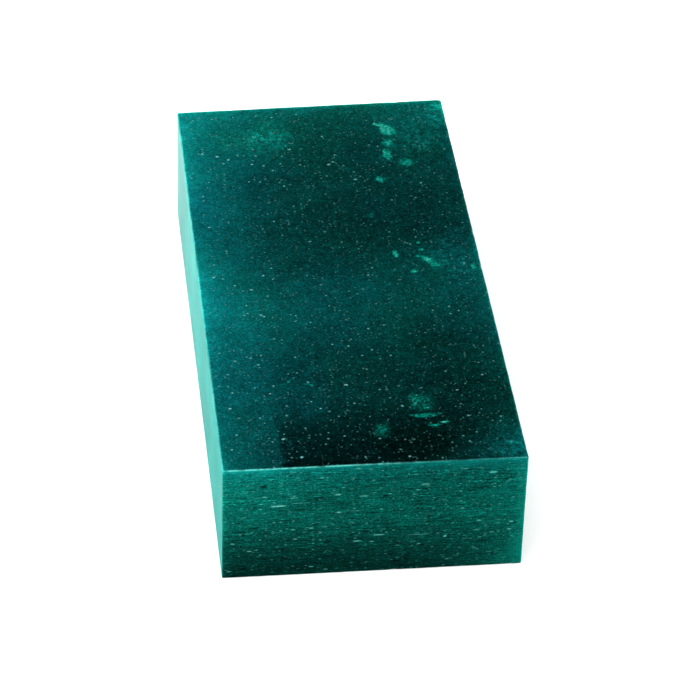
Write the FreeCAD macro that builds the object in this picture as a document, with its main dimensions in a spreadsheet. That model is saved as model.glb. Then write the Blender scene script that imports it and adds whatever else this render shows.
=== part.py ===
"""Carving wax block: a cast slab of hard green wax, sawn to length.

Frame: millimetres, +Z up. The origin is the centre of the bounding box's base. X runs across the
block, Y along it, and the square sawn end faces -Y. The other end was sawn a little out of square,
so the block is full length along its +X side and shorter along its -X side.
"""

import os

import FreeCAD
import Part
import Sketcher

V = FreeCAD.Vector

# Alias, value in millimetres (or degrees), what it is.
DRIVING_DIMENSIONS = [
    ("block_width", "81", "across the block, cast side to cast side"),
    ("block_length", "178", "along the longer side, end to end"),
    ("block_height", "36.5", "cast top to cast base"),
    ("end_skew_angle", "1.55", "degrees that the far end is sawn out of square"),
    ("saw_overrun", "5", "how far the saw cut runs past the block on each side"),
    ("cast_edge_radius", "0.6", "rounding of the four long edges, left by the mould"),
    ("sawn_edge_break", "0.25", "flat scraped along the edges of both sawn ends"),
]


def make_sheet(doc):
    """The spreadsheet that drives every size."""
    sheet = doc.addObject("Spreadsheet::Sheet", "sizes")
    for row, (alias, value, meaning) in enumerate(DRIVING_DIMENSIONS, start=1):
        sheet.set(f"A{row}", alias)
        sheet.set(f"B{row}", value)
        sheet.set(f"C{row}", meaning)
        sheet.setAlias(f"B{row}", alias)
    doc.recompute()
    return sheet


def origin_plane(body, role):
    """One of the body's own origin planes, by its role."""
    return next(f for f in body.Origin.OriginFeatures if f.Role == role)


def new_sketch(body, name, role):
    """An empty sketch on one of the body's origin planes."""
    sketch = body.newObject("Sketcher::SketchObject", name)
    sketch.AttachmentSupport = (origin_plane(body, role), [""])
    sketch.MapMode = "FlatFace"
    return sketch


def closed_outline(sketch, corners):
    """Straight lines through the corners, joined end to end."""
    count = len(corners)
    for i in range(count):
        sketch.addGeometry(Part.LineSegment(corners[i], corners[(i + 1) % count]), False)
    for i in range(count):
        sketch.addConstraint(Sketcher.Constraint("Coincident", i, 2, (i + 1) % count, 1))


def drive(sketch, name, constraint, expression):
    """Adds a named dimension to the sketch and binds it to the sheet."""
    index = sketch.addConstraint(constraint)
    sketch.renameConstraint(index, name)
    sketch.setExpression(f"Constraints.{name}", expression)


def cast_slab(body):
    """The slab as it left the mould: its full cross-section, as long as the block's longer side."""
    section = new_sketch(body, "slab_plan", "XY_Plane")
    half_width, half_length = 40.0, 90.0
    closed_outline(section, [V(-half_width, -half_length, 0), V(half_width, -half_length, 0),
                             V(half_width, half_length, 0), V(-half_width, half_length, 0)])
    for line, way in enumerate(("Horizontal", "Vertical", "Horizontal", "Vertical")):
        section.addConstraint(Sketcher.Constraint(way, line))
    section.addConstraint(Sketcher.Constraint("Symmetric", 0, 1, 2, 1, -1, 1))
    drive(section, "across", Sketcher.Constraint("DistanceX", 0, 1, 0, 2, 80.0),
          "sizes.block_width")
    drive(section, "along", Sketcher.Constraint("DistanceY", 1, 1, 1, 2, 180.0),
          "sizes.block_length")
    slab = body.newObject("PartDesign::Pad", "slab")
    slab.Profile = section
    slab.setExpression("Length", "sizes.block_height")
    return slab


def skewed_saw_cut(body):
    """Takes a thin wedge off the far end, which leaves it out of square in plan."""
    wedge = new_sketch(body, "saw_cut_plan", "XY_Plane")
    closed_outline(wedge, [V(45, 88, 0), V(45, 95, 0), V(-45, 95, 0), V(-45, 84, 0)])
    wedge.addConstraint(Sketcher.Constraint("Vertical", 0))
    wedge.addConstraint(Sketcher.Constraint("Horizontal", 1))
    wedge.addConstraint(Sketcher.Constraint("Vertical", 2))
    half_reach = "(sizes.block_width / 2 + sizes.saw_overrun)"
    half_length = "sizes.block_length / 2"
    tangent = "tan(sizes.end_skew_angle * 1 deg)"
    drive(wedge, "right_reach", Sketcher.Constraint("DistanceX", -1, 1, 0, 1, 45.0), half_reach)
    drive(wedge, "left_reach", Sketcher.Constraint("DistanceX", 2, 2, -1, 1, 45.0), half_reach)
    drive(wedge, "outer_side", Sketcher.Constraint("DistanceY", -1, 1, 1, 1, 95.0),
          f"{half_length} + sizes.saw_overrun")
    drive(wedge, "cut_at_right", Sketcher.Constraint("DistanceY", -1, 1, 0, 1, 90.0),
          f"{half_length} + sizes.saw_overrun * {tangent}")
    drive(wedge, "cut_at_left", Sketcher.Constraint("DistanceY", -1, 1, 2, 2, 85.0),
          f"{half_length} - (sizes.block_width + sizes.saw_overrun) * {tangent}")
    cut = body.newObject("PartDesign::Pocket", "far_end_cut")
    cut.Profile = wedge
    cut.Type = "ThroughAll"
    cut.Midplane = True
    return cut


def edge_names(shape, wanted):
    """Names of the shape's edges that the test accepts."""
    return [f"Edge{i}" for i, edge in enumerate(shape.Edges, start=1) if wanted(edge)]


def runs_lengthwise(edge):
    """True for the four long edges, which the mould made."""
    ends = [v.Point for v in edge.Vertexes]
    return len(ends) == 2 and abs(ends[0].y - ends[1].y) > 0.5 * edge.BoundBox.DiagonalLength


def on_one_end(shape):
    """A test for the edges that lie wholly on one of the two sawn ends."""
    middle = shape.BoundBox.Center.y
    reach = 0.9 * shape.BoundBox.YLength / 2
    return lambda edge: abs(edge.BoundBox.Center.y - middle) > reach


def dress(body, kind, name, base, names, size_property, alias):
    """A fillet or chamfer over the named edges, sized from the sheet."""
    dressing = body.newObject(f"PartDesign::{kind}", name)
    dressing.Base = (base, names)
    dressing.setExpression(size_property, f"sizes.{alias}")
    return dressing


def wax_block(doc):
    """The one piece: cast slab, skewed cut, rounded cast edges, scraped sawn edges."""
    body = doc.addObject("PartDesign::Body", "wax_block")
    body.Label = "wax_block"
    slab = cast_slab(body)
    doc.recompute()
    full = slab.Shape.Volume
    cut = skewed_saw_cut(body)
    doc.recompute()
    if not cut.Shape.Volume < full:
        raise RuntimeError("the far end's saw cut took nothing off")
    rounding = dress(body, "Fillet", "cast_edges", cut,
                     edge_names(cut.Shape, runs_lengthwise), "Radius", "cast_edge_radius")
    doc.recompute()
    dress(body, "Chamfer", "sawn_edges", rounding,
          edge_names(rounding.Shape, on_one_end(rounding.Shape)), "Size", "sawn_edge_break")
    doc.recompute()
    return body


def check(doc, pieces):
    """Stops unless every object computed and every piece is one valid closed solid."""
    for obj in doc.Objects:
        if "Invalid" in obj.State or "Error" in obj.State:
            raise RuntimeError(f"{obj.Name} failed: {obj.State}")
    for piece in pieces:
        shape = piece.Shape
        if shape.isNull() or not shape.isValid() or len(shape.Solids) != 1:
            raise RuntimeError(f"{piece.Label} isn't one valid solid")
        box = shape.BoundBox
        print(f"{piece.Label}: {box.XLength:.2f} x {box.YLength:.2f} x {box.ZLength:.2f} mm,"
              f" {shape.Volume / 1000:.1f} cm3, {len(shape.Faces)} faces")


def main():
    doc = FreeCAD.newDocument("wax_block_document")
    make_sheet(doc)
    pieces = [wax_block(doc)]
    check(doc, pieces)
    os.makedirs("parts", exist_ok=True)
    for piece in pieces:
        piece.Shape.exportStep(os.path.join("parts", piece.Label + ".step"))


main()
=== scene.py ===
"""Looks of the carving wax block: its own mesh, with saw marks, pits, scuffs and edge wear, and
three finishes of one dark green wax, whose tone also holds painted light, painted shade, a painted
dark reflection and painted edge highlights. The slab is modelled in millimetres from its front left
bottom corner (x across, y along, z up) and moved into the row frame, in metres, at the end."""

import itertools
import math

import bpy
import numpy as np
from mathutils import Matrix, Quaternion, Vector
from mathutils.geometry import delaunay_2d_cdt


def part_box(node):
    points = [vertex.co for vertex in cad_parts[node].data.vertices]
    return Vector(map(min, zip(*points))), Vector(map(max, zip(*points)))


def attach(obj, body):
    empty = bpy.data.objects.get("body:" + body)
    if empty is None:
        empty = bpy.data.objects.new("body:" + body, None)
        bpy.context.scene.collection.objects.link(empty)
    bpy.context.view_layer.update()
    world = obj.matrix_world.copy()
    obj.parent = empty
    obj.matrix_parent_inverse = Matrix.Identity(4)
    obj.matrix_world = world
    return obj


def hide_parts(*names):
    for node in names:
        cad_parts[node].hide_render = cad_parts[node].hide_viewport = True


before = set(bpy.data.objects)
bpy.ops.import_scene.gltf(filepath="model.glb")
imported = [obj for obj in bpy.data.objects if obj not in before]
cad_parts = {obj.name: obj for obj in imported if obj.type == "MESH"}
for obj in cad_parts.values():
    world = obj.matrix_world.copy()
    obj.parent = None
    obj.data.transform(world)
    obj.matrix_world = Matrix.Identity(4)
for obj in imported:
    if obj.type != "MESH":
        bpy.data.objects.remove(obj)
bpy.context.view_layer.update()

MM = 0.001
NODE = "wax_block"


# ---- The slab's box -----------------------------------------------------------------------------

low, high = (np.array(corner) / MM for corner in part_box(NODE))
size = high - low
WIDTH, LENGTH, HEIGHT = size


def left_side_length():
    """The slab's length along its left side, which the skewed far end cuts short."""
    points = np.array([v.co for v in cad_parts[NODE].data.vertices]) / MM - low
    return points[points[:, 0] < 1.0][:, 1].max()


LEFT_SHARE = left_side_length() / LENGTH


# ---- Smooth, repeatable noise -------------------------------------------------------------------

def lattice_values(cell, seed):
    """One repeatable value from -1 to 1 for each whole-number point."""
    x, y, z = cell.T
    n = (x * 374761393 + y * 668265263 + z * 1440662683 + seed * 974634777) & 0xFFFFFFFF
    n = ((n ^ (n >> 13)) * 1274126177) & 0xFFFFFFFF
    n = ((n ^ (n >> 15)) * 1103515245) & 0xFFFFFFFF
    return ((n >> 8) & 0xFFFF) / 32767.5 - 1.0


def grain(points, blotch, seed):
    """Smooth noise from -1 to 1, whose blotches are about `blotch` millimetres along x, y and z."""
    scaled = points / np.asarray(blotch, float) + 31.7 * seed
    cell = np.floor(scaled).astype(np.int64)
    part = scaled - cell
    ease = part * part * (3 - 2 * part)
    total = np.zeros(len(points))
    for corner in itertools.product((0, 1), repeat=3):
        weight = np.prod(np.where(corner, ease, 1 - ease), axis=1)
        total += weight * lattice_values(cell + corner, seed)
    return total


def smoothstep(start, end, value):
    """0 up to start, 1 from end, and an even S between them."""
    t = np.clip((value - start) / (end - start), 0, 1)
    return t * t * (3 - 2 * t)


# ---- What marks the slab ------------------------------------------------------------------------

# Scuffs on the top: millimetres across and along from the front left corner, half sizes, turn in
# degrees, strength.
SCUFFS = [
    ("far_dab", 62.3, 162.6, 2.4, 4.5, 20, 1.0),
    ("far_dab_streak", 59.9, 165.4, 0.7, 1.7, 65, 1.05),
    ("far_dab_tail", 62.0, 155.2, 2.3, 2.8, 0, 0.74),
    ("far_dab_lower", 60.9, 149.0, 1.8, 4.0, 5, 0.8),
    ("far_dab_right", 66.2, 143.8, 3.2, 3.3, 0, 0.6),
    ("small_dab", 57.2, 135.6, 1.6, 2.3, 20, 0.85),
    ("faint_dab", 52.3, 116.8, 1.8, 2.0, 0, 0.3),
    ("chip_dab", 66.0, 93.0, 1.2, 2.7, 40, 1.0),
    ("chip_dab_tip", 67.9, 90.4, 1.4, 1.9, 40, 0.75),
    ("chip_dab_above", 64.7, 98.0, 1.0, 0.6, 10, 1.15),
    ("chip_dab_top", 64.4, 101.6, 0.6, 0.8, 0, 1.1),
    ("chip_dab_left", 57.2, 96.4, 0.9, 2.2, 8, 0.95),
    ("chip_dab_low", 61.4, 87.4, 1.1, 1.0, 20, 1.0),
    ("chip_dab_nick", 63.4, 94.9, 0.7, 0.8, 30, 1.1),
    ("edge_dab", 78.6, 88.6, 0.9, 1.8, 0, 0.85),
    ("soft_smudge", 43.6, 14.4, 3.2, 4.6, -15, 0.40),
    ("nick_row", 58.0, 15.6, 2.0, 0.4, 0, 0.9),
    ("nick_row_end", 60.8, 16.8, 1.2, 0.4, 0, 1.25),
    ("hook_scratch", 14.4, 37.6, 1.1, 0.5, 40, 0.6),
    ("bent_scratch", 19.2, 36.9, 1.6, 0.4, 5, 0.65),
    ("bent_scratch_end", 20.9, 38.0, 1.0, 0.45, 55, 0.75),
    ("wavy_scratch", 25.3, 36.6, 1.5, 0.35, 0, 0.55),
    ("wavy_scratch_end", 27.0, 35.9, 0.8, 0.45, -25, 0.75),
    ("far_scratch", 15.2, 155.6, 1.3, 0.45, 0, 0.5),
    ("far_scratch_right", 22.8, 156.4, 1.4, 0.5, 12, 0.55),
]
# The thumb mark's smear, in the same form, and the crisp line where the painted dark reflection on
# the top begins.
THUMB = ("thumb_mark", 55.8, 25.3, 4.9, 5.8, 2, 0.36)
STRIP_EDGE = ("strip_edge", 15.8, 18.0, 1.5, 19.0, 0, 0.0)

# Milky hazes on the top: across, along, half sizes, strength.
HAZES = [
    (26.5, 160.5, 6.0, 6.5, 1.3),
    (71.0, 158.0, 9.0, 15.0, 0.75),
    (78.5, 168.0, 4.0, 12.0, 0.9),
    (73.0, 97.0, 8.0, 11.0, 0.85),
    (77.0, 5.0, 8.0, 8.0, 0.9),
    (38.0, 104.0, 6.0, 7.0, 0.25),
]

# Paler (+) and darker (-) areas: across and along the top, across and down the sawn ends, or
# along and up the left side, then half sizes and tone.
TOP_AREAS = [
    (20.0, 160.0, 20.0, 17.0, 0.065),
    (2.0, 140.0, 9.0, 12.0, 0.08),
    (66.0, 156.0, 6.0, 10.0, 0.075),
    (78.0, 172.0, 8.0, 10.0, 0.03),
    (30.0, 170.0, 10.0, 10.0, 0.03),
    (55.0, 111.0, 30.0, 9.0, -0.06),
    (70.0, 118.0, 10.0, 14.0, -0.035),
    (72.0, 82.0, 12.0, 8.0, -0.03),
    (80.0, 28.0, 7.0, 13.0, -0.045),
    (29.0, 9.0, 10.0, 12.0, 0.065),
    (5.0, 108.0, 12.0, 9.0, -0.03),
    (28.0, 60.0, 16.0, 12.0, 0.055),
    (78.0, 52.0, 6.0, 16.0, 0.06),
    (62.0, 32.0, 28.0, 11.0, -0.045),
    (15.0, 52.0, 5.0, 8.0, 0.04),
    (51.0, 9.0, 8.0, 10.0, -0.075),
    (78.0, 5.0, 6.0, 8.0, 0.06),
    (42.0, 94.0, 12.0, 11.0, -0.04),
    (55.0, 155.0, 5.0, 8.0, -0.04),
    (23.0, 127.0, 12.0, 8.0, 0.03),
    (26.0, 152.0, 7.0, 7.0, 0.03),
    (27.0, 161.0, 6.0, 5.0, 0.025),
    (12.0, 7.0, 4.0, 8.0, -0.03),
    (74.0, 125.0, 5.0, 8.0, 0.03),
]
END_AREAS = [
    (32.0, 2.0, 22.0, 4.0, 0.07),
    (79.0, 17.0, 8.0, 18.0, 0.09),
    (78.0, 36.0, 10.0, 8.0, 0.24),
    (66.0, 34.0, 14.0, 9.0, 0.11),
    (4.0, 27.0, 9.0, 5.0, 0.04),
    (52.0, 20.0, 10.0, 7.0, 0.04),
]
LEFT_AREAS = [
    (90.0, 34.0, 34.0, 10.0, 0.065),
    (128.0, 18.0, 18.0, 12.0, 0.03),
    (66.0, 3.0, 36.0, 14.0, -0.07),
    (20.0, 3.0, 26.0, 12.0, -0.055),
    (166.0, 2.0, 14.0, 9.0, -0.06),
    (148.0, 35.0, 14.0, 8.0, -0.02),
]

SPECKS = 820
SPECK_GAP = 1.05
SPECK_RADIUS = (0.14, 0.33)
SPECK_HEIGHT = (-0.05, 0.05)
SPECK_CROWDS = [(71.0, 29.0, 4.5), (65.0, 18.0, 7.0), (30.0, 42.0, 12.0), (50.0, 140.0, 14.0),
                (76.0, 98.0, 6.0), (65.0, 98.0, 5.0), (32.0, 152.0, 9.0)]

# Marks on the front sawn end: across, below the top edge, half length, half height, and how far
# they stand out (pale flakes) or in (dark tears).
SAW_MARKS = [
    (14.8, 12.6, 2.1, 0.22, 0.9),
    (18.9, 10.1, 1.2, 0.22, 0.5),
    (30.6, 9.6, 1.0, 0.26, 0.7),
    (37.6, 10.5, 1.4, 0.20, 0.55),
    (40.2, 9.6, 0.7, 0.22, 0.5),
    (31.0, 15.7, 0.8, 0.24, 0.7),
    (35.5, 15.4, 2.4, 0.16, 0.45),
    (41.9, 24.0, 1.7, 0.20, 0.65),
    (36.0, 25.8, 1.3, 0.20, 0.65),
    (52.5, 24.6, 3.2, 0.16, 0.40),
    (59.7, 25.6, 0.5, 0.30, 0.75),
    (71.6, 4.5, 1.2, 0.28, 0.7),
    (53.8, 7.5, 1.3, 0.40, 0.45),
    (68.4, 23.9, 1.2, 0.20, 0.45),
    (9.0, 27.3, 0.5, 0.26, 0.5),
    (1.8, 34.2, 0.6, 0.26, 0.5),
    (10.8, 6.1, 0.9, 0.48, -1.1),
    (11.5, 5.5, 0.5, 0.30, -0.8),
    (42.8, 18.2, 0.8, 0.35, -0.6),
    (66.5, 3.4, 2.6, 0.22, -0.9),
    (56.9, 6.2, 1.9, 0.20, -0.8),
    (54.2, 9.1, 1.1, 0.30, -0.7),
    (63.5, 6.3, 1.6, 0.20, -0.7),
    (75.2, 6.9, 1.8, 0.22, -0.7),
    (70.4, 9.6, 1.3, 0.20, -0.6),
    (78.0, 22.3, 1.6, 0.22, -0.7),
]


SIDE_SCUFFS = 11


def side_scuffs(rng):
    """Scuffs on a long side, in the same form as SCUFFS: millimetres along it and up it."""
    scuffs = []
    for number in range(SIDE_SCUFFS):
        along, up = rng.uniform(6, LENGTH - 6), rng.uniform(5, HEIGHT - 5)
        half_length = rng.uniform(0.8, 4.0)
        scuffs.append((f"side_{number}", along, up, half_length,
                       rng.uniform(0.5, 1.0) * min(half_length, 1.6),
                       rng.uniform(-40, 40), rng.uniform(0.25, 0.8)))
    return scuffs


def speck_light(x, y):
    """How bright specks can be at a place on the top: brightest to the left and near both ends."""
    return (1.35 - 1.05 * x / WIDTH + 0.30 * smoothstep(105, 140, y)
            + 0.25 * (1 - smoothstep(25, 45, y)))


def scatter_specks(rng):
    """Specks over the top, crowding towards the front: x, y, long and short radius, turn, height,
    brightness. None is close to another, to an edge or to a scuff's middle."""
    specks = []
    while len(specks) < SPECKS:
        x, y = rng.uniform(2.6, WIDTH - 2.6), rng.uniform(2.6, LENGTH - 2.6)
        crowd = 0.48 + 0.27 * (1 - y / LENGTH) ** 1.6
        for crowd_x, crowd_y, reach in SPECK_CROWDS:
            crowd += 0.5 * math.exp(-((x - crowd_x) ** 2 + (y - crowd_y) ** 2) / reach ** 2)
        if rng.random() > crowd:
            continue
        if any(math.hypot(x - s[0], y - s[1]) < SPECK_GAP for s in specks):
            continue
        if any(math.hypot(x - s[1], y - s[2]) < max(s[3], s[4]) + 0.8 for s in SCUFFS):
            continue
        radius = SPECK_RADIUS[0] + (SPECK_RADIUS[1] - SPECK_RADIUS[0]) * rng.random() ** 2.6
        specks.append((x, y, radius * rng.uniform(1.0, 1.8), radius, rng.uniform(1.0, 2.15),
                       rng.uniform(*SPECK_HEIGHT),
                       speck_light(x, y) * (0.15 + 0.85 * rng.random() ** 2.3)))
    return specks


def ring(x, y, long_radius, short_radius, turn, count):
    """Points round an ellipse."""
    angles = np.arange(count) * 2 * math.pi / count
    u, v = short_radius * np.cos(angles), long_radius * np.sin(angles)
    c, s = math.cos(turn), math.sin(turn)
    return np.stack([x + c * u - s * v, y + s * u + c * v], axis=1)


def scuff_axes(flat, scuff):
    """Each point's place across and along a scuff, in shares of its half sizes."""
    _, x, y, half_width, half_length, turn, _ = scuff
    c, s = math.cos(math.radians(turn)), math.sin(math.radians(turn))
    dx, dy = (flat - [x, y]).T
    return (c * dx + s * dy) / half_width, (c * dy - s * dx) / half_length


# ---- The mesh, before it is marked: a box cut into points ---------------------------------------

EDGE_ROWS = (0.0, 0.08, 0.2, 0.36, 0.6, 0.95, 1.5)
ACROSS_STEP, ALONG_STEP, UP_STEP = 0.7, 1.1, 0.26
INNER_STEP = 2.3
INNER_MARGIN = 2.9
SCUFF_STEP, SCUFF_REACH = 0.42, 1.35


def spaced(length, step):
    """Positions along an edge: close rows at each end and even steps between them."""
    inner = length - 2 * EDGE_ROWS[-1]
    count = round(inner / step)
    middle = EDGE_ROWS[-1] + inner * np.arange(1, count) / count
    return np.round(np.concatenate([EDGE_ROWS, middle, length - np.array(EDGE_ROWS[::-1])]), 3)


def grid_face(us, vs):
    """A face cut into rows and columns: its points and its quads."""
    u, v = np.meshgrid(us, vs, indexing="ij")
    index = np.arange(len(us) * len(vs)).reshape(len(us), len(vs))
    quads = np.stack([index[:-1, :-1], index[1:, :-1], index[1:, 1:], index[:-1, 1:]], axis=-1)
    return np.stack([u.ravel(), v.ravel()], axis=1), quads.reshape(-1, 4).tolist()


def spread_face(us, vs, rng, scuffs=(), specks=()):
    """A face with close rows by its edges, a loose spread inside, and detail at its marks."""
    rows, _ = grid_face(us, vs)
    width, height = us[-1], vs[-1]
    to_edge = np.minimum.reduce([rows[:, 0], width - rows[:, 0], rows[:, 1], height - rows[:, 1]])
    rim = rows[to_edge <= EDGE_ROWS[-1] + 1e-6]
    inner_us = np.linspace(INNER_MARGIN, width - INNER_MARGIN,
                           round((width - 2 * INNER_MARGIN) / INNER_STEP) + 1)
    inner_vs = np.linspace(INNER_MARGIN, height - INNER_MARGIN,
                           round((height - 2 * INNER_MARGIN) / INNER_STEP) + 1)
    inner, _ = grid_face(inner_us, inner_vs)
    inner = inner + rng.uniform(-0.3, 0.3, inner.shape) * INNER_STEP
    details = []
    for _, x, y, half_width, half_length, turn, _ in scuffs:
        steps_u = max(2, round(half_width * SCUFF_REACH / SCUFF_STEP))
        steps_v = max(2, round(half_length * SCUFF_REACH / SCUFF_STEP))
        u, v = np.meshgrid(np.linspace(-SCUFF_REACH, SCUFF_REACH, 2 * steps_u + 1),
                           np.linspace(-SCUFF_REACH, SCUFF_REACH, 2 * steps_v + 1))
        disc = np.hypot(u, v) <= SCUFF_REACH
        c, s = math.cos(math.radians(turn)), math.sin(math.radians(turn))
        u, v = u[disc] * half_width, v[disc] * half_length
        points = np.stack([x + c * u - s * v, y + s * u + c * v], axis=1)
        inside = (points > EDGE_ROWS[-1] + 0.3) & (points < [width - EDGE_ROWS[-1] - 0.3,
                                                             height - EDGE_ROWS[-1] - 0.3])
        details.append(points[inside.all(axis=1)])
    for x, y, long_radius, short_radius, turn, _, _ in specks:
        details.append(np.array([[x, y]]))
        details.append(ring(x, y, long_radius * 0.75, short_radius * 0.75, turn, 6))
        details.append(ring(x, y, long_radius * 1.5, short_radius * 1.5, turn, 8))
    kept = [rim]
    for points in reversed(details):
        kept.append(clear_of(points, kept[1:], 0.12))
    kept.append(clear_of(inner, kept[1:], 0.9))
    points = np.concatenate(kept)
    found = delaunay_2d_cdt([Vector(p) for p in points], [], [], 0, 1e-5)
    source = np.array([indices[0] for indices in found[3]])
    return points[source], [list(face) for face in found[2]]


def clear_of(points, others, gap):
    """The points that are further than gap from all the others."""
    if not others:
        return points
    others = np.concatenate(others)
    near = [others[np.abs(others - p).max(axis=1) < gap] for p in points]
    free = [len(n) == 0 or np.hypot(*(n - p).T).min() >= gap for p, n in zip(points, near)]
    return points[np.array(free)]


CAST, SIDE, SAWN = 0, 1, 2


def box_of_faces(rng, specks, left_scuffs, right_scuffs):
    """All six faces joined into one closed box: points, faces, and the finish of each face."""
    across, along = spaced(WIDTH, ACROSS_STEP), spaced(LENGTH, ALONG_STEP)
    up = spaced(HEIGHT, UP_STEP)
    ends = grid_face(across, up)
    top = spread_face(across, along, rng, SCUFFS + [THUMB, STRIP_EDGE], specks)
    base = spread_face(across, along, rng)
    left = spread_face(along, up, rng, left_scuffs)
    right = spread_face(along, up, rng, right_scuffs)
    # Each face, the axis it is square to, which end of that axis, and its finish.
    placed = [(ends, 1, 0.0, SAWN), (ends, 1, LENGTH, SAWN), (base, 2, 0.0, CAST),
              (top, 2, HEIGHT, CAST), (left, 0, 0.0, SIDE), (right, 0, WIDTH, SIDE)]
    points, faces, finishes = [], [], []
    count = 0
    for (flat, polygons), axis, level, finish in placed:
        solid = np.insert(flat, axis, level, axis=1)
        outward = (level > 0) == (axis != 1)
        points.append(solid)
        faces += [[count + i for i in (p if outward else p[::-1])] for p in polygons]
        finishes += [finish] * len(polygons)
        count += len(solid)
    keys = np.round(np.concatenate(points), 3)
    merged, index = np.unique(keys, axis=0, return_inverse=True)
    index = index.ravel()
    return merged, [[int(index[i]) for i in f] for f in faces], finishes


# ---- Marks: how far each point moves out or in, and how pale the wax is there -------------------

CAST_RADIUS, SAWN_RADIUS = 0.5, 0.24
RADIUS_LIMITS = (0.07, 1.35)

# Knocks on the edges: x, y, z as shares of the box, depth and reach in millimetres.
KNOCKS = [
    (0.0, 0.0, 1.0, 0.75, 0.9),
    (1.0, 0.595, 1.0, 0.55, 1.3),
    (1.0, 0.497, 1.0, 0.6, 1.1),
    (1.0, 0.93, 1.0, 0.35, 2.0),
    (1.0, 0.0, 0.0, 0.15, 0.6),
    (1.0, 1.0, 1.0, 0.4, 0.9),
    (0.0, 0.33, 0.0, 0.5, 1.6),
    (1.0, 0.74, 0.0, 0.45, 1.4),
    (0.62, 0.0, 1.0, 0.22, 1.2),
]
SMALL_KNOCKS = 90


def small_knocks(rng):
    """Little random nicks along all twelve edges."""
    knocks = []
    for _ in range(SMALL_KNOCKS):
        free_axis = rng.choice(3, p=size / size.sum())
        place = rng.integers(0, 2, 3).astype(float)
        place[free_axis] = rng.random()
        knocks.append((*place, rng.uniform(0.05, 0.3), rng.uniform(0.3, 1.1)))
    return knocks


def edge_radius(points, knocks):
    """How far the nearest edge is rounded: the mould's radius, or the sharper one of a saw cut."""
    to_end = np.minimum(points[:, 1], LENGTH - points[:, 1])
    sawn = np.exp(-((to_end / 1.2) ** 2))
    radius = CAST_RADIUS + (SAWN_RADIUS - CAST_RADIUS) * sawn
    radius *= 1 + 0.35 * grain(points, (5, 5, 5), 1) + 0.3 * grain(points, (1.3, 1.3, 1.3), 2)
    for *place, depth, reach in knocks:
        away = np.linalg.norm(points - np.array(place) * size, axis=1)
        radius += depth * np.exp(-((away / reach) ** 2))
    return np.clip(radius, *RADIUS_LIMITS)


def sawn_height(points):
    """A sawn end's height, how flaked and torn it is, and how strongly the saw marks show."""
    x, y, z = points.T
    below = HEIGHT - z
    band = 0.8 + 0.9 * np.exp(-((x / 6) ** 2)) + 1.5 * smoothstep(35, 70, x)
    marked_here = 1 - 0.75 * np.exp(-((below / band) ** 2))
    marked_here *= 1 - 0.35 * np.exp(-(((WIDTH - x) / 2.4) ** 2))
    marked_here *= 1 - 0.35 * smoothstep(20, 34, below)
    wander = 0.006 * x + 0.22 * grain(points, (26, 9, 7), 3)
    lines = np.stack([x, y, z + wander], axis=1)
    rough = marked_here * (0.75 + 0.6 * grain(points, (20, 9, 9), 4))
    height = 0.026 * grain(lines, (30, 9, 0.95), 5) + 0.030 * grain(lines, (7, 9, 0.55), 6)
    height += 0.030 * grain(lines, (2.4, 9, 0.4), 7)
    tears = smoothstep(0.55, 0.9, grain(lines, (3.0, 9, 0.5), 8)) * marked_here
    flakes = 0.6 * smoothstep(0.66, 0.95, grain(lines, (2.2, 9, 0.45), 9)) * marked_here
    height = rough * height - 0.10 * tears + 0.05 * flakes
    for mark_x, mark_below, half_length, half_height, out in SAW_MARKS:
        across, up = (x - mark_x) / half_length, (below - mark_below) / half_height
        mark = np.exp(-(across ** 4 + up ** 2)) * (y < 1)
        height += (0.10 if out > 0 else 0.40) * out * mark
        flakes = np.maximum(flakes, 1.3 * out * mark)
        tears = np.maximum(tears, -1.3 * out * mark)
    return height, tears, flakes, marked_here


def scuff_mask(points, flat, scuffs):
    """How scuffed a face is: ragged dabs, crisp where they are strong and soft where faint."""
    ragged, finely_ragged = grain(points, (1.5, 1.5, 1.5), 12), grain(points, (0.7, 0.7, 0.7), 28)
    scuffed = np.zeros(len(points))
    for number, scuff in enumerate(scuffs):
        u, v = scuff_axes(flat, scuff)
        reach = np.hypot(u, v)
        lobes = 0.10 * np.sin((3 + number % 4) * np.arctan2(v, u) + number)
        reach *= 1 + lobes * smoothstep(0.3, 1, reach) + 0.26 * ragged + 0.14 * finely_ragged
        strength = scuff[-1]
        dab = strength * (1 - smoothstep(0.6 * strength - 0.2, 1.15, reach))
        scuffed = np.maximum(scuffed, dab)
    return scuffed


def thumb_mask(points):
    """A thumb's faint smear on the top, with two pale curved lines under it."""
    u, v = scuff_axes(points[:, :2], THUMB)
    patchy = 0.85 + 0.35 * grain(points, (1.1, 1.1, 1.1), 12)
    smear = THUMB[-1] * patchy * (1 - smoothstep(0.3, 1.15, np.hypot(u, v)))
    smear += 0.25 * patchy * np.exp(-(((u + 0.4) / 0.4) ** 2 + ((v - 0.5) / 0.35) ** 2))
    lower, upper = v + 1.05 - 0.27 * u ** 2, v + 0.80
    between = smoothstep(-0.03, 0.05, lower) * (1 - smoothstep(-0.03, 0.05, upper))
    lines = np.maximum(np.exp(-((lower / 0.06) ** 2)), np.exp(-((upper / 0.05) ** 2)))
    crescent = (0.60 * between + 0.35 * lines) * patchy * (1 - smoothstep(0.85, 1.0, np.abs(u)))
    return np.maximum(smear, crescent)


def speck_mask(points, specks):
    """How far the specks on the top stand out or in, and how bright they are."""
    flat = points[:, :2]
    height, bright_here = np.zeros(len(points)), np.zeros(len(points))
    for x, y, long_radius, short_radius, turn, rise, bright in specks:
        near = np.abs(flat - [x, y]).max(axis=1) < 2 * long_radius
        dx, dy = (flat[near] - [x, y]).T
        c, s = math.cos(turn), math.sin(turn)
        reach = np.hypot((c * dx + s * dy) / short_radius, (c * dy - s * dx) / long_radius)
        dome = 1 - smoothstep(0.5, 1.4, reach)
        height[near] += rise * dome
        bright_here[near] = np.maximum(bright_here[near], bright * dome)
    return height, bright_here


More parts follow.
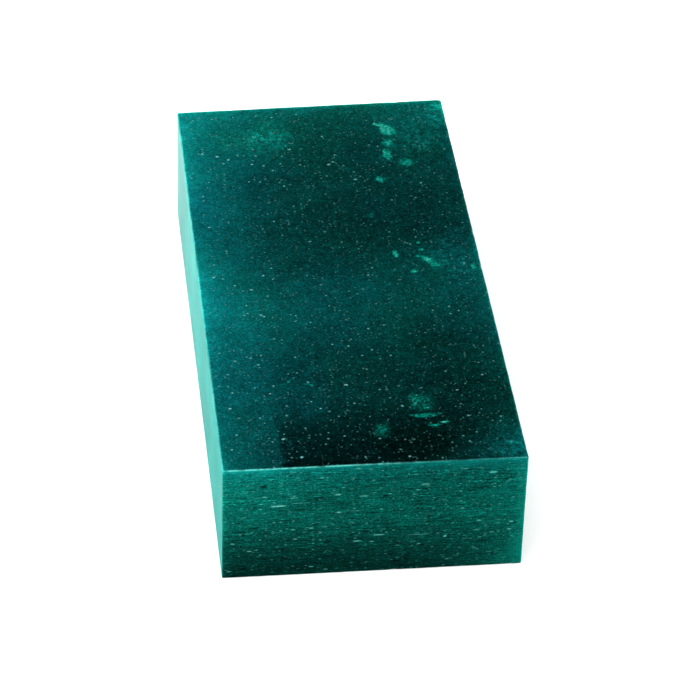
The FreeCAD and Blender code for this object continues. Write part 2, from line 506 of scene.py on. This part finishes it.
def cast_height(points):
    """The cast faces' height: a slow waviness."""
    return 0.035 * grain(points, (34, 34, 34), 10) + 0.008 * grain(points, (9, 9, 9), 11)


def side_height(points):
    """The long sides' height: a slow waviness, faint lines along the block and shallow dents."""
    height = 0.03 * grain(points, (30, 40, 14), 14) + 0.014 * grain(points, (9, 30, 2.4), 15)
    height += 0.006 * grain(points, (9, 60, 0.9), 17)
    return height - 0.07 * smoothstep(0.62, 0.95, grain(points, (9, 7, 5), 18))


# Tone runs from 0, near-black wax, to 1, pale milky wax. On the top, the sawn ends and the long
# sides' edges it also holds painted light and shade.
def areas_tone(u, v, areas):
    """The steps in tone of paler and darker areas, which fade out softly."""
    tone = np.zeros(len(u))
    for middle_u, middle_v, half_width, half_length, step in areas:
        tone += step * np.exp(-(((u - middle_u) / half_width) ** 2)
                              - ((v - middle_v) / half_length) ** 2)
    return tone


def top_tone(points):
    """Tone of the top: painted light makes it pale along its left, and a painted dark reflection
    makes it darkest at the front, right of a crisp boundary.
    """
    x, y, _ = points.T
    right, back = WIDTH - x, LENGTH - y
    tone = 0.302 + 0.035 * grain(points, (24, 28, 9), 20) + 0.02 * grain(points, (9, 11, 9), 21)
    # Painted light: paler along the top's left, right and back edges, where the lamps shine in.
    tone += 0.25 * np.exp(-((x / 20) ** 2)) * (1 - 0.5 * np.exp(-back / 12))
    tone += 0.10 * np.exp(-x / 3) + 0.06 * np.exp(-right / 4) + 0.20 * np.exp(-right / 0.8)
    tone += 0.30 * np.exp(-back / 14) + 0.14 * np.exp(-(((y - 78) / 20) ** 2))
    tone -= 0.07 * np.exp(-(((x - 66) / 9) ** 2)) * smoothstep(80, 50, y)
    # Painted dark reflection: the front of the top is darkest right of a crisp, wandering boundary.
    boundary = 15.5 + 1.0 * grain(points, (9, 6, 9), 22)
    dark = smoothstep(boundary - 0.6, boundary + 1.2, x) * smoothstep(32, 5, y)
    tone -= 0.37 * dark * (1 - smoothstep(56, 74, x + 0.5 * (12 - y)))
    tone -= 0.12 * np.exp(-(((y - 1.2) / 0.6) ** 2)) * smoothstep(14, 17, x) * smoothstep(45, 30, x)
    return tone + areas_tone(x, y, TOP_AREAS)


# How blue the wax is: its blue as a share of its green.
SIDE_BLUE = 0.86


def top_blue(points):
    """How blue the top is: most along its left, least at its hazy far left."""
    x, y, _ = points.T
    blue = 1.03 - 0.14 * smoothstep(12, 55, x) - 0.08 * smoothstep(130, 170, y)
    blue += 0.07 * grain(points, (18, 20, 9), 27) + 0.08 * grain(points, (7, 9, 9), 29)
    return blue - 0.14 * np.exp(-(((x - 24) / 14) ** 2) - ((y - 163) / 12) ** 2)


def haze_mask(points):
    """How hazy the top is."""
    x, y, _ = points.T
    haze = np.zeros(len(points))
    for haze_x, haze_y, half_width, half_length, strength in HAZES:
        reach = ((x - haze_x) / half_width) ** 2 + ((y - haze_y) / half_length) ** 2
        haze = np.maximum(haze, strength * np.exp(-reach))
    return haze * (0.75 + 0.35 * grain(points, (6, 6, 6), 19))


def sawn_tone(points):
    """Tone of a sawn end: painted light makes it palest at the top left, along its top edge and
    along its right edge, and painted shade makes it darker low down.
    """
    x, _, z = points.T
    below = HEIGHT - z
    # Painted shade: darker low down.
    tone = 0.59 - 0.33 * smoothstep(15, 39, below) + 0.03 * grain(points, (14, 9, 8), 23)
    tone += areas_tone(x, below, END_AREAS)
    # Painted light at the top left and along the top edge.
    tone += 0.15 * np.exp(-((x / 24) ** 2)) * smoothstep(30, 8, below)
    tone += 0.12 * np.exp(-((below / (1.4 + 1.6 * smoothstep(35, 70, x))) ** 2))
    # Painted light along the right edge, widening downwards, and a little along the left edge.
    painted_edge_light = np.exp(-(((WIDTH - x) / (2.6 + 1.2 * below / HEIGHT)) ** 2))
    painted_edge_light += 0.35 * np.exp(-((x / 2.0) ** 2))
    return tone + (0.76 - tone) * painted_edge_light


def side_tone(points):
    """Tone of a long side: milkier than the top, with painted edge light making it palest along its
    upper edge.
    """
    x, y, z = points.T
    tone = 0.66 + 0.04 * y / LENGTH + 0.07 * grain(points, (9, 24, 12), 24)
    tone += 0.03 * grain(points, (9, 7, 30), 25)
    tone += (x < WIDTH / 2) * areas_tone(y, z, LEFT_AREAS)
    # Painted edge light along the upper edge, and a little along the lower one.
    return tone + 0.10 * np.exp((z - HEIGHT) / 1.5) + 0.03 * np.exp(-z / 1.5)


def edge_wear_and_highlight(points):
    """How pale each edge is: a little real wear on all of them, and a painted highlight mostly
    along the front end's top edge and the top's left edge.
    """
    to_faces = np.minimum(points, size - points)
    to_edge = np.partition(to_faces, 1, axis=1)[:, 1]
    x, y, z = points.T
    # Painted highlight along the front end's top edge.
    front_top = np.exp(-((y / 0.8) ** 2 + ((HEIGHT - z) / 0.8) ** 2))
    front_top *= smoothstep(0.8, 1.8, x) * (1 - 0.30 * smoothstep(14, 22, x))
    front_top *= 1 - 0.75 * smoothstep(35, 60, x)
    front_top *= 0.40 + 0.60 * smoothstep(-0.6, 0.1, grain(points, (2.4, 2.4, 2.4), 30))
    # Painted highlight along the top's left edge.
    left_top = np.exp(-((x / 0.8) ** 2 + ((HEIGHT - z) / 0.8) ** 2))
    patchy = 0.5 + 0.5 * grain(points, (3.5, 3.5, 3.5), 26)
    wear_and_highlight = 0.12 * patchy + 1.1 * front_top + 0.6 * patchy * left_top
    return np.exp(-((to_edge / 0.24) ** 2)) * np.clip(wear_and_highlight, 0, 1)


def marked(points, knocks, specks, left_scuffs, right_scuffs):
    """Moves each point of the box to where the real surface is, and says how it looks there."""
    radius = edge_radius(points, knocks)[:, None]
    core = np.clip(points, radius, size - radius)
    outward = points - core
    outward /= np.linalg.norm(outward, axis=1, keepdims=True)
    side, end, cast = (outward ** 2).T
    top = cast * (outward[:, 2] > 0)
    saw, tears, flakes, marked_here = sawn_height(points)
    scuffed = top * np.maximum(scuff_mask(points, points[:, :2], SCUFFS), thumb_mask(points))
    scuffed += side * np.where(outward[:, 0] < 0, scuff_mask(points, points[:, 1:], left_scuffs),
                               scuff_mask(points, points[:, 1:], right_scuffs))
    speck_rise, bright = speck_mask(points, specks)
    lift = side * side_height(points) + end * saw + cast * cast_height(points)
    lift += top * speck_rise + 0.04 * scuffed * (grain(points, (0.9, 0.9, 0.9), 13) - 0.3)
    lift -= (cast - top) * 0.03
    moved = core + (radius + lift[:, None]) * outward

    sawn_blue = 0.765 + 0.14 * np.exp((points[:, 2] - HEIGHT) / 4)
    looks = {
        "tone": side * side_tone(points) + end * sawn_tone(points) + cast * top_tone(points),
        "blue": side * SIDE_BLUE + end * sawn_blue + cast * top_blue(points),
        "wear_and_highlight": edge_wear_and_highlight(points),
        "saw": end * marked_here,
        "flake": end * flakes,
        "tear": end * tears,
        "haze": top * haze_mask(points),
        "scuff": scuffed,
        "speck": top * bright,
        "polish": side * points[:, 1] / LENGTH,
    }
    return moved, looks


def into_frame(points):
    """From the slab's own millimetres to the row frame's metres, with the far end skewed."""
    x, y, z = points.T
    y = y * (LEFT_SHARE + (1 - LEFT_SHARE) * x / WIDTH)
    return (np.stack([x, y, z], axis=1) + low) * MM


def wax_slab():
    """The slab as one closed mesh, with its looks kept as point attributes."""
    rng = np.random.default_rng(41)
    specks = scatter_specks(rng)
    left_scuffs, right_scuffs = side_scuffs(rng), side_scuffs(rng)
    points, faces, finishes = box_of_faces(rng, specks, left_scuffs, right_scuffs)
    knocks = KNOCKS + small_knocks(rng)
    moved, looks = marked(points, knocks, specks, left_scuffs, right_scuffs)
    mesh = bpy.data.meshes.new("wax_slab")
    mesh.from_pydata(into_frame(moved).tolist(), [], faces)
    mesh.validate()
    for name, values in looks.items():
        attribute = mesh.attributes.new(name, "FLOAT", "POINT")
        attribute.data.foreach_set("value", values.astype(np.float32))
    for material in (wax("cast_wax", "cast"), wax("side_wax", "side"), wax("sawn_wax", "sawn")):
        mesh.materials.append(material)
    mesh.polygons.foreach_set("material_index", finishes)
    mesh.polygons.foreach_set("use_smooth", [True] * len(faces))
    mesh.update()
    slab = bpy.data.objects.new("wax_slab", mesh)
    bpy.context.scene.collection.objects.link(slab)
    print("slab:", len(mesh.vertices), "points,", sum(len(f) - 2 for f in faces), "triangles")
    return slab


# ---- Materials ----------------------------------------------------------------------------------

class Nodes:
    """Short names for making and joining a material's nodes."""

    def __init__(self, tree):
        self.tree = tree
        tree.nodes.clear()

    def add(self, kind, settings=None, **inputs):
        """One node. Inputs are numbers, colours or other nodes' sockets, by socket name."""
        node = self.tree.nodes.new(kind)
        for name, value in (settings or {}).items():
            setattr(node, name, value)
        for name, value in inputs.items():
            socket = node.inputs[int(name[1:])] if name[0] == "_" else node.inputs[name]
            if isinstance(value, bpy.types.NodeSocket):
                self.tree.links.new(value, socket)
            else:
                socket.default_value = value
        return node

    def math(self, operation, a, b=0.0, c=0.0):
        """One step of arithmetic on two or three values."""
        node = self.add("ShaderNodeMath", {"operation": operation}, _0=a, _1=b, _2=c)
        return node.outputs[0]

    def attribute(self, name):
        """One of the looks that the mesh keeps for each point."""
        return self.add("ShaderNodeAttribute", {"attribute_name": name}).outputs["Fac"]

    def ramp(self, value, low, high, to_low=0.0, to_high=1.0):
        """An even S from one level to another as the value goes from low to high."""
        node = self.add("ShaderNodeMapRange", {"interpolation_type": "SMOOTHSTEP"},
                        _0=value, _1=low, _2=high, _3=to_low, _4=to_high)
        return node.outputs[0]

    def mix(self, factor, a, b):
        """Colour a, turning into colour b."""
        node = self.add("ShaderNodeMix", {"data_type": "RGBA"}, _0=factor, _6=a, _7=b)
        return node.outputs[2]

    def noise(self, place, scale, detail, roughness):
        """Noise from 0 to 1, with so many blotches to the metre."""
        node = self.add("ShaderNodeTexNoise", None, Vector=place, Scale=scale, Detail=detail,
                        Roughness=roughness)
        return node.outputs["Fac"]

    def stretched(self, place, factors):
        """Places scaled along each axis: a small factor draws a pattern out along its axis."""
        node = self.add("ShaderNodeVectorMath", {"operation": "MULTIPLY"}, _0=place, _1=factors)
        return node.outputs[0]


DARKEST_GREEN, TONE_SPAN, RED_SHARE = 0.004, 81.0, 0.01
FINISHES = {
    "cast": {"roughness": 0.38, "mottle": 1.00, "bump": 0.12, "dust": 0.38, "specular": 0.02,
             "sheen": 0.0},
    "side": {"roughness": 0.60, "mottle": 0.90, "bump": 0.14, "dust": 0.35, "specular": 0.08,
             "sheen": 0.35},
    "sawn": {"roughness": 0.62, "mottle": 0.60, "bump": 0.35, "dust": 0.75, "specular": 0.015,
             "sheen": 0.0},
}
SPECK_COLOUR = (0.155, 0.425, 0.402, 1)
SCUFF_COLOUR = (0.0005, 0.130, 0.096, 1)
SCRAPE_COLOUR = (0.050, 0.275, 0.232, 1)
FLAKE_COLOUR = (0.085, 0.410, 0.355, 1)
# Pale edge colour: real wear, and a painted highlight on the front end's top edge and the top's
# left edge.
WEAR_AND_HIGHLIGHT_COLOUR = (0.120, 0.560, 0.500, 1)
PIT_COLOUR = (0.0003, 0.004, 0.0036, 1)


def tone_colour(n, tone):
    """Colour of the wax for a tone, which is the same step brighter each time the tone rises."""
    green = n.math("MULTIPLY", n.math("POWER", TONE_SPAN, tone), DARKEST_GREEN)
    red = n.math("MULTIPLY", green, RED_SHARE)
    blue = n.math("MULTIPLY", green, n.attribute("blue"))
    return n.add("ShaderNodeCombineColor", None, Red=red, Green=green, Blue=blue).outputs["Color"]


def dust(n, place, per_metre, radius):
    """Fine pale dust: dots of different sizes and brightness, from a Voronoi pattern."""
    cells = n.add("ShaderNodeTexVoronoi", {"feature": "F1"}, Vector=place, Scale=per_metre)
    dot = n.ramp(cells.outputs["Distance"], radius * 0.4, radius, 1.0, 0.0)
    level = n.add("ShaderNodeSeparateColor", None, Color=cells.outputs["Color"]).outputs[0]
    return n.math("MULTIPLY", dot, n.math("POWER", level, 2.0))


def centred(n, value, gain):
    """Noise moved to swing about 0, and made stronger or weaker."""
    return n.math("MULTIPLY", n.math("SUBTRACT", value, 0.5), gain)


def mottled(n, grains, gain):
    """The mesh's tone with the wax's mottle, which shows most on dark wax."""
    tone = n.attribute("tone")
    mottle = n.math("MULTIPLY_ADD", grains["middling"], 0.3, grains["fine"])
    mottle = n.math("MULTIPLY", n.math("SUBTRACT", mottle, 0.65), gain)
    mottle = n.math("MULTIPLY", mottle, n.math("SUBTRACT", 1.25, tone))
    tone = n.math("ADD", tone, mottle)
    return n.math("ADD", tone, centred(n, grains["broad"], gain * 0.22))


def milky(n, grains, tone):
    """The top's tone with its haze."""
    cloud = n.ramp(grains["middling"], 0.30, 0.75, 0.08, 0.36)
    return n.math("ADD", tone, n.math("MULTIPLY", n.attribute("haze"), cloud))


def planed(n, place, tone, height, rough):
    """Tone, height and roughness of a long side, with planed lines, clouds and scratches."""
    lines = n.noise(n.stretched(place, (1.0, 0.02, 1.0)), 900, 3.0, 0.6)
    cloudy = n.noise(place, 60, 3.0, 0.6)
    slanted = n.add("ShaderNodeVectorRotate", {"rotation_type": "X_AXIS"}, Vector=place,
                    Angle=0.4).outputs[0]
    scratched = n.noise(n.stretched(slanted, (1.0, 0.035, 1.0)), 1500, 1.0, 0.5)
    scratched = n.math("MULTIPLY", n.ramp(scratched, 0.68, 0.76), n.ramp(cloudy, 0.45, 0.6))
    tone = n.math("ADD", tone, centred(n, lines, 0.18))
    tone = n.math("ADD", tone, centred(n, cloudy, 0.44))
    tone = n.math("MULTIPLY_ADD", scratched, 0.22, tone)
    height = n.math("MULTIPLY_ADD", lines, 0.6, height)
    height = n.math("MULTIPLY_ADD", scratched, -1.5, height)
    return tone, height, n.math("MULTIPLY_ADD", n.attribute("polish"), -0.28, rough)


def streaked(n, place, grit, tone, height):
    """Tone and height of a sawn end, with grit, lines, pale dashes and dark ones across it."""
    lines = n.noise(n.stretched(place, (0.04, 1.0, 1.0)), 2400, 2.0, 0.6)
    pale = n.noise(n.stretched(place, (0.16, 1.0, 1.0)), 2600, 1.0, 0.5)
    dark = n.noise(n.stretched(place, (0.13, 1.0, 1.0)), 2300, 1.0, 0.5)
    saw = n.math("ADD", centred(n, grit, 1.15), centred(n, lines, 0.60))
    saw = n.math("MULTIPLY_ADD", n.ramp(pale, 0.62, 0.74), 0.34, saw)
    saw = n.math("MULTIPLY_ADD", n.ramp(dark, 0.40, 0.28), -0.38, saw)
    saw = n.math("MULTIPLY", saw, n.math("SUBTRACT", 1.25, n.attribute("tone")))
    tone = n.math("MULTIPLY_ADD", saw, n.attribute("saw"), tone)
    return tone, n.math("ADD", height, saw)


def torn(n, grit, colour):
    """A sawn end's colour with its pale flakes and dark tears."""
    flake = n.math("MULTIPLY", n.attribute("flake"), n.ramp(grit, 0.25, 0.50, 0.3))
    colour = n.mix(n.ramp(flake, 0.1, 0.8, 0.0, 0.85), colour, FLAKE_COLOUR)
    return n.mix(n.ramp(n.attribute("tear"), 0.2, 0.9, 0.0, 0.8), colour, PIT_COLOUR)


def scuffed(n, place, colour, rough):
    """Colour and roughness with scuffs, which are palest where they are strong, and specks."""
    scuff = n.attribute("scuff")
    scraped = n.math("ADD", scuff, centred(n, n.noise(place, 1100, 4.0, 0.75), 4.0))
    cover = n.math("MULTIPLY", n.ramp(scuff, 0.0, 0.5), n.ramp(scraped, 0.2, 0.8, 0.10, 0.95))
    colour = n.mix(cover, colour, SCUFF_COLOUR)
    cover = n.math("MULTIPLY", n.ramp(scuff, 0.2, 0.6), n.ramp(scraped, 1.05, 1.45))
    colour = n.mix(cover, colour, SCRAPE_COLOUR)
    colour = n.mix(n.ramp(n.attribute("speck"), 0.02, 1.0, 0.0, 0.54), colour, SPECK_COLOUR)
    return colour, n.math("MULTIPLY_ADD", scuff, 0.25, rough)


def round_dust(n, place):
    """Dust on a smooth face: scattered dots and smaller, fainter ones."""
    return n.math("MAXIMUM", dust(n, place, 420, 0.18),
                  n.math("MULTIPLY", dust(n, place, 900, 0.28), 0.6))


def drawn_out_dust(n, place):
    """Dust on a sawn end: the same dots, drawn out along the saw's way."""
    dashes = dust(n, n.stretched(place, (0.32, 1.0, 1.0)), 760, 0.21)
    fainter = dust(n, n.stretched(place, (0.45, 1.0, 1.0)), 1250, 0.30)
    both = n.math("MAXIMUM", dashes, n.math("MULTIPLY", fainter, 0.6))
    return n.math("MULTIPLY", both, n.attribute("saw"))


def wax(name, finish):
    """One finish of the wax: cast skin, planed side or sawn end."""
    facts = FINISHES[finish]
    material = bpy.data.materials.new(name)
    material.use_nodes = True
    n = Nodes(material.node_tree)
    place = n.add("ShaderNodeTexCoord").outputs["Object"]
    grains = {
        "fine": n.noise(place, 1900, 2.0, 0.6),
        "middling": n.noise(place, 620, 2.0, 0.5),
        "broad": n.noise(place, 150, 3.0, 0.55),
    }
    tone = mottled(n, grains, facts["mottle"])
    height = n.math("MULTIPLY", grains["fine"], 0.35)
    rough = n.math("MULTIPLY_ADD", grains["broad"], 0.16, facts["roughness"] - 0.08)

    if finish == "sawn":
        grit = n.noise(n.stretched(place, (0.55, 1.0, 1.0)), 3200, 2.0, 0.6)
        tone, height = streaked(n, place, grit, tone, height)
        colour = torn(n, grit, tone_colour(n, tone))
        specks, speck_colour = drawn_out_dust(n, place), FLAKE_COLOUR
    else:
        if finish == "side":
            tone, height, rough = planed(n, place, tone, height, rough)
        if finish == "cast":
            tone = milky(n, grains, tone)
        colour, rough = scuffed(n, place, tone_colour(n, tone), rough)
        specks, speck_colour = round_dust(n, place), SPECK_COLOUR
    # Edge wear, with the painted edge highlight.
    wear_and_highlight = n.math("MULTIPLY", n.attribute("wear_and_highlight"),
                  n.ramp(grains["middling"], 0.30, 0.60, 0.35, 1.0))
    colour = n.mix(n.math("MULTIPLY", wear_and_highlight, 0.75), colour, WEAR_AND_HIGHLIGHT_COLOUR)
    colour = n.mix(n.math("MULTIPLY", specks, facts["dust"]), colour, speck_colour)
    height = n.math("MULTIPLY_ADD", specks, 0.5, height)

    bump = n.add("ShaderNodeBump", None, Strength=facts["bump"], Distance=0.0002, Height=height)
    shader = n.add("ShaderNodeBsdfPrincipled", None, **{
        "Base Color": colour,
        "Roughness": rough,
        "IOR": 1.44,
        "Specular IOR Level": facts["specular"],
        "Specular Tint": (0.10, 1.0, 0.95, 1),
        "Subsurface Weight": 0.6,
        "Subsurface Radius": (0.15, 1.0, 0.9),
        "Subsurface Scale": 0.006,
        "Sheen Weight": facts["sheen"],
        "Sheen Roughness": 0.30,
        "Sheen Tint": (0.17, 1.0, 0.88, 1),
        "Normal": bump.outputs["Normal"],
    })
    n.add("ShaderNodeOutputMaterial", None, Surface=shader.outputs["BSDF"])
    return material


# ---- Stage: floor, light and camera -------------------------------------------------------------

def pale_floor():
    """A plain pale floor."""
    mesh = bpy.data.meshes.new("floor")
    reach = 12.0
    corners = [(-reach, -reach, 0), (reach, -reach, 0), (reach, reach, 0), (-reach, reach, 0)]
    mesh.from_pydata(corners, [], [(0, 1, 2, 3)])
    floor = bpy.data.objects.new("floor", mesh)
    material = bpy.data.materials.new("pale_floor")
    material.use_nodes = True
    shader = material.node_tree.nodes["Principled BSDF"]
    shader.inputs["Base Color"].default_value = (0.86, 0.86, 0.86, 1)
    shader.inputs["Roughness"].default_value = 0.9
    shader.inputs["Specular IOR Level"].default_value = 0.0
    mesh.materials.append(material)
    bpy.context.scene.collection.objects.link(floor)


def studio_air():
    """Even light from all round, white to the camera and dim in reflections."""
    world = bpy.data.worlds.new("studio")
    bpy.context.scene.world = world
    world.use_nodes = True
    n = Nodes(world.node_tree)
    path = n.add("ShaderNodeLightPath")
    level = n.math("MULTIPLY_ADD", path.outputs["Is Glossy Ray"], -0.28, 0.33)
    seen = path.outputs["Is Camera Ray"]
    level = n.math("ADD", n.math("MULTIPLY", level, n.math("SUBTRACT", 1.0, seen)), seen)
    background = n.add("ShaderNodeBackground", None, Color=(1, 1, 1, 1), Strength=level)
    n.add("ShaderNodeOutputWorld", None, Surface=background.outputs[0])


def light(kind, name, azimuth, elevation, distance, power, **settings):
    """A light round the slab, pointing at it. Azimuth 0 is in front of it, 90 to its right."""
    data = bpy.data.lights.new(name, kind)
    data.energy = power
    for key, value in settings.items():
        setattr(data, key, value)
    lamp = bpy.data.objects.new(name, data)
    back = direction(azimuth, elevation)
    lamp.location = back * distance
    lamp.rotation_mode = "QUATERNION"
    lamp.rotation_quaternion = (-back).to_track_quat("-Z", "Y")
    lamp.visible_camera = False
    bpy.context.scene.collection.objects.link(lamp)


def direction(azimuth, elevation):
    """The way from the slab to something at that azimuth and elevation, in degrees."""
    a, e = math.radians(azimuth), math.radians(elevation)
    return Vector((math.sin(a) * math.cos(e), -math.cos(a) * math.cos(e), math.sin(e)))


def studio_lights():
    """A soft ceiling, a strong softbox low on the left and a weaker one on the right."""
    light("SUN", "ceiling", -30, 72, 2.0, 3.3, angle=math.radians(80))
    light("AREA", "left_softbox", -95, 17, 0.9, 17, shape="RECTANGLE", size=0.9, size_y=0.4)
    light("AREA", "right_softbox", 80, 24, 1.1, 9, shape="RECTANGLE", size=0.9, size_y=0.6)


CAMERA_AIM = Vector((0.0018, -0.0134, 0.01825))
CAMERA_AZIMUTH, CAMERA_ELEVATION, CAMERA_ROLL = -7.33, 36.19, 1.84
CAMERA_DISTANCE = 0.9469
CAMERA_LENS = 171.64


def camera():
    """The camera, looking a little from the left and down at 36 degrees through a long lens."""
    data = bpy.data.cameras.new("camera")
    data.lens = CAMERA_LENS
    data.sensor_width = 36
    eye = bpy.data.objects.new("camera", data)
    back = direction(CAMERA_AZIMUTH, CAMERA_ELEVATION)
    eye.location = CAMERA_AIM + back * CAMERA_DISTANCE
    eye.rotation_mode = "QUATERNION"
    roll = Quaternion((0, 0, 1), math.radians(CAMERA_ROLL))
    eye.rotation_quaternion = (-back).to_track_quat("-Z", "Y") @ roll
    bpy.context.scene.collection.objects.link(eye)
    bpy.context.scene.camera = eye


camera()
pale_floor()
studio_air()
studio_lights()
bpy.context.scene.view_settings.view_transform = "Standard"

slab = wax_slab()
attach(slab, "root")
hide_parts(NODE)
